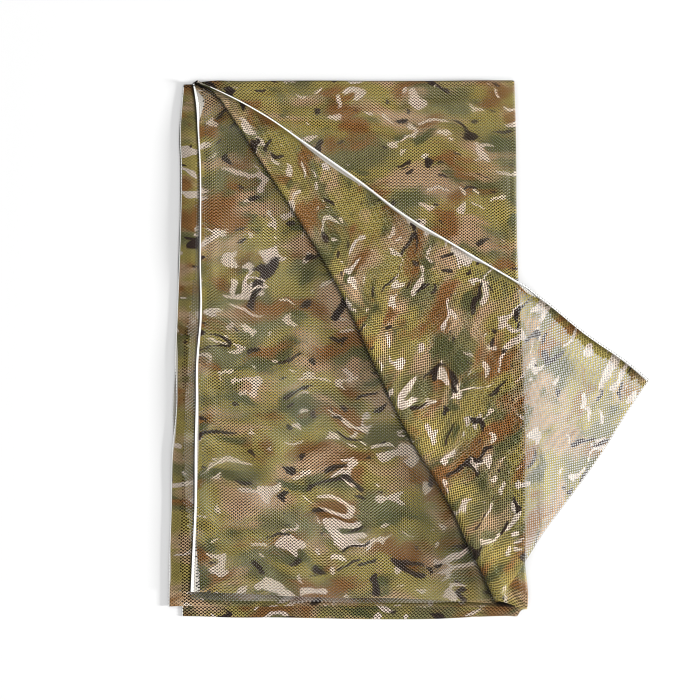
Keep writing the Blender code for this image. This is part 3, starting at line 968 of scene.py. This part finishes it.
def camouflage(tree, place_socket):
    """The colour of the print at a place on the flat cloth."""
    broad = warped(tree, place_socket, WARP_SCALE, WARP_SIZE)
    fine = warped(tree, broad, FINE_WARP_SCALE, FINE_WARP_SIZE)
    streaks = noise(tree, shifted(tree, fine, turn=STREAK_TURN, scale=STREAKS), 1.0).outputs[0]
    feather = maths(tree, "MULTIPLY_ADD", streaks, STREAK_SHARE, -STREAK_SHARE / 2.0)
    colour = KHAKI
    for ink, offset, turn, length, width, threshold, softness in BLOTCHES:
        value = stretched_noise(tree, fine, offset, turn, length, width, BLOTCH_DETAIL)
        value = maths(tree, "ADD", value, feather)
        colour = blend(tree, step(tree, value, threshold, softness), colour, ink)
    mottle = noise(tree, fine, MOTTLE_SCALE, MOTTLE_DETAIL, MOTTLE_ROUGHNESS).outputs[0]
    mottle = maths(tree, "MULTIPLY_ADD", mottle, MOTTLE_SHARE, MOTTLE_LIFT)
    mottle = maths(tree, "ADD", mottle, streaks)
    colour = darkened(tree, colour, maths(tree, "MULTIPLY_ADD", mottle, INK_RANGE, INK_LOWEST))
    cluster = maths(tree, "SUBTRACT", noise(tree, place_socket, CLUSTER_SCALE).outputs[0], 0.5)
    for ink, *row in DASHES:
        colour = blend(tree, dash_mask(tree, fine, cluster, *row), colour, ink)
    return colour


print(f"{len(BLOTCHES)} ground inks over khaki, {len(DASHES)} sets of dashes")

# %% [markdown]
# The knit itself is finer than the net's holes. Each strand is round, so its middle stands proud
# of its sides, and its loops make a fine grain. Both are bump, and the colour also darkens towards
# each strand's rims as painted shade. The cloth is matt, and so its holes stay dark. The ink ends a
# little short of the selvedge, which shows the white yarn.

# %% The printed mesh cloth
STRAND_RISE = 0.0007
BUMP_STRENGTH = 0.8
GRAIN_SCALE = 900.0
GRAIN_RISE = 0.25
ROUGHNESS = 0.68
GRAIN_ROUGHNESS = 0.15
GLOSS = 0.07
SELVEDGE_WHITE = 0.0082
SELVEDGE_WHITE_TILT = -0.0040
CURL_SIDE = 0.0056
CURL_SIDE_WIDTH = 0.0021
CURL_SHADE = 0.16
TOP_INK = 0.0165
PRINT_STRAY = 0.005
STRAY_SCALE = 5.0
STRAY_START = 0.55
STRAY_RANGE = 0.15
INK_EDGE = 0.0012
CUT_YARN = 0.0025
CUT_YARN_ACROSS = -0.27
BARE_WHITE = 0.15
COVER_SHADE = -0.985
RIM_SHADE = 0.82
RIM_MIDDLE = 0.35
RIM_SOFTNESS = 1.0
SHUT_LIGHT = 0.40
SHUT_CELL = -0.3
HOLE_SOFTNESS = 0.3
MARGIN_SHADE = -0.25
MARGIN_WIDTH = 0.030


def strand_height(tree, across, along):
    """1 in the middle of a strand and 0 at the rim of a hole."""
    column = maths(tree, "DIVIDE", across, 2.0 * HOLE_STEP_ACROSS)
    row = maths(tree, "DIVIDE", along, 2.0 * HOLE_STEP_ALONG)
    half_strand = (1.0 - HOLE_SHARE) / 2.0
    heights = []
    for operation in ("ADD", "SUBTRACT"):
        run = maths(tree, operation, row, column)
        from_middle = maths(tree, "PINGPONG", maths(tree, "ADD", run, 0.5), 0.5)
        fall = maths(tree, "DIVIDE", from_middle, half_strand)
        heights.append(maths(tree, "SUBTRACT", 1.0, fall))
    return maths(tree, "MAXIMUM", *heights)


def edge_yarn(tree, colour, across, along, flat):
    """White yarn at both selvedges, pale knit where the ink strays away, and a pale cut end.

    The side of the upper layers' curl is painted dark, as shade.
    """
    from_edge = maths(tree, "SUBTRACT", CLOTH_WIDTH / 2, maths(tree, "ABSOLUTE", across))
    bare = add_node(tree, "Attribute", attribute_name=BARE_NAME).outputs["Fac"]
    white = maths(tree, "MULTIPLY_ADD", across, SELVEDGE_WHITE_TILT, SELVEDGE_WHITE)
    white = maths(tree, "MULTIPLY_ADD", bare, BARE_WHITE, white)
    at_corner = maths(tree, "COMPARE", along, TOP_FOLD_ALONG - TOP_INK, TOP_INK)
    white = maths(tree, "MULTIPLY", white, maths(tree, "SUBTRACT", 1.0, at_corner))
    stray = noise(tree, flat, STRAY_SCALE, detail=1.0).outputs[0]
    stray = maths(tree, "MAXIMUM", maths(tree, "SUBTRACT", stray, STRAY_START), 0.0)
    pale = maths(tree, "MULTIPLY_ADD", stray, PRINT_STRAY / STRAY_RANGE, white)
    pale = maths(tree, "ADD", pale, bare)
    for ink, width in ((PALE_KNIT, pale), (UNPRINTED, white)):
        inside = maths(tree, "SUBTRACT", width, from_edge)
        colour = blend(tree, step(tree, inside, 0.0, INK_EDGE), colour, ink)
    curl = maths(tree, "COMPARE", from_edge, CURL_SIDE, CURL_SIDE_WIDTH)
    curl = maths(tree, "MULTIPLY", curl, maths(tree, "LESS_THAN", across, 0.0))
    colour = darkened(tree, colour, maths(tree, "MULTIPLY_ADD", curl, CURL_SHADE - 1.0, 1.0))
    from_cut = maths(tree, "ADD", CLOTH_LENGTH / 2, along)
    cut = maths(tree, "MULTIPLY", maths(tree, "LESS_THAN", from_cut, CUT_YARN),
                 maths(tree, "LESS_THAN", across, CUT_YARN_ACROSS))
    return blend(tree, cut, colour, PALE_KNIT)


def strand_rim_shade(tree, colour, across, height):
    """Painted shade on round strands: darker towards their rims, and darker cells where the net is
    knitted shut. The margin by the selvedge is darker too.
    """
    from_edge = maths(tree, "SUBTRACT", CLOTH_WIDTH / 2, maths(tree, "ABSOLUTE", across))
    margin = maths(tree, "SUBTRACT", 1.0, step(tree, from_edge, MARGIN_WIDTH, MARGIN_WIDTH / 2.0))
    colour = darkened(tree, colour, maths(tree, "MULTIPLY_ADD", margin, MARGIN_SHADE, 1.0))
    middle = step(tree, height, RIM_MIDDLE, RIM_SOFTNESS)
    strand = maths(tree, "MULTIPLY_ADD", middle, RIM_SHADE, 1.0 - RIM_SHADE)
    cell = maths(tree, "MULTIPLY", maths(tree, "LESS_THAN", height, SHUT_CELL), SHUT_LIGHT)
    return darkened(tree, colour, maths(tree, "MAXIMUM", strand, cell))


def painted_dark_holes(tree, colour, across, along, height):
    """Painted shade: dark holes on the closed bands at the lowest cut end and the top fold."""
    lower = maths(tree, "GREATER_THAN", across, SIDE_FOLD_ACROSS)
    band = maths(tree, "LESS_THAN", along, END_BAND - CLOTH_LENGTH / 2)
    band = maths(tree, "MULTIPLY", lower, band)
    band = maths(tree, "MAXIMUM", band, maths(tree, "COMPARE", along, TOP_FOLD_ALONG, TOP_BAND))
    hole = maths(tree, "SUBTRACT", 1.0, step(tree, height, 0.0, HOLE_SOFTNESS))
    share = maths(tree, "MULTIPLY", band, hole)
    return darkened(tree, colour, maths(tree, "MULTIPLY_ADD", share, COVER_SHADE, 1.0))


def printed_mesh():
    material = bpy.data.materials.new("printed_mesh_cloth")
    material.use_nodes = True
    tree = material.node_tree
    shader = tree.nodes["Principled BSDF"]
    flat = add_node(tree, "UVMap", uv_map=FLAT_MAP).outputs[0]
    parts = add_node(tree, "SeparateXYZ", {0: flat})
    across, along = parts.outputs[0], parts.outputs[1]

    strands = strand_height(tree, across, along)
    colour = strand_rim_shade(tree, camouflage(tree, flat), across, strands)
    colour = edge_yarn(tree, colour, across, along, flat)
    colour = painted_dark_holes(tree, colour, across, along, strands)
    # The attribute's painted shade darkens the colour.
    painted_shade_share = add_node(tree, "Attribute", attribute_name=COVER).outputs["Fac"]
    light = maths(tree, "MULTIPLY_ADD", painted_shade_share, COVER_SHADE, 1.0)
    tree.links.new(darkened(tree, colour, light), shader.inputs["Base Color"])

    grain = noise(tree, flat, GRAIN_SCALE, detail=1.0).outputs[0]
    height = maths(tree, "MULTIPLY_ADD", grain, GRAIN_RISE, strands)
    bump = add_node(tree, "Bump", {
        "Height": height, "Strength": BUMP_STRENGTH, "Distance": STRAND_RISE})
    tree.links.new(bump.outputs[0], shader.inputs["Normal"])
    rough = maths(tree, "MULTIPLY_ADD", grain, GRAIN_ROUGHNESS, ROUGHNESS)
    tree.links.new(rough, shader.inputs["Roughness"])
    shader.inputs["Specular IOR Level"].default_value = GLOSS
    return material


cloth = printed_mesh()
for piece in pieces.values():
    piece.data.materials.clear()
    piece.data.materials.append(cloth)
print(f"{cloth.name}: {len(cloth.node_tree.nodes)} nodes")

# %% [markdown]
# ## The floor
#
# A plain pale floor carries the net. It is much larger than the view, so that its edge doesn't
# show from the side either.

# %% Floor
FLOOR_SIZE = 9.0
FLOOR_COLOUR = (0.595, 0.595, 0.595, 1.0)
FLOOR_ROUGHNESS = 0.9
FLOOR_GLOSS = 0.1


def add_floor():
    bpy.ops.object.select_all(action="DESELECT")
    bpy.ops.mesh.primitive_plane_add(size=FLOOR_SIZE)
    floor = bpy.context.object
    floor.name = "floor"
    material = bpy.data.materials.new("pale_floor")
    material.use_nodes = True
    shader = material.node_tree.nodes["Principled BSDF"]
    shader.inputs["Base Color"].default_value = FLOOR_COLOUR
    shader.inputs["Roughness"].default_value = FLOOR_ROUGHNESS
    shader.inputs["Specular IOR Level"].default_value = FLOOR_GLOSS
    floor.data.materials.append(material)
    return floor


floor = add_floor()
floor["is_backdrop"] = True

# %% [markdown]
# ## Put the layers in place of the solid
#
# Every layer is attached to the root body in place of the solid, and the solid is hidden. A net
# has less cloth in it than its outline; each layer's true area is summed as it is folded.

for name, piece in pieces.items():
    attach(piece, "root")
    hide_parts("net")

# %% Print the two boxes
shown_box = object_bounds()
boxes = dict(solid=cad_box, shown=shown_box)
for key, box in boxes.items():
    print(key, [[round(value * 1000.0, 1) for value in corner] for corner in box])
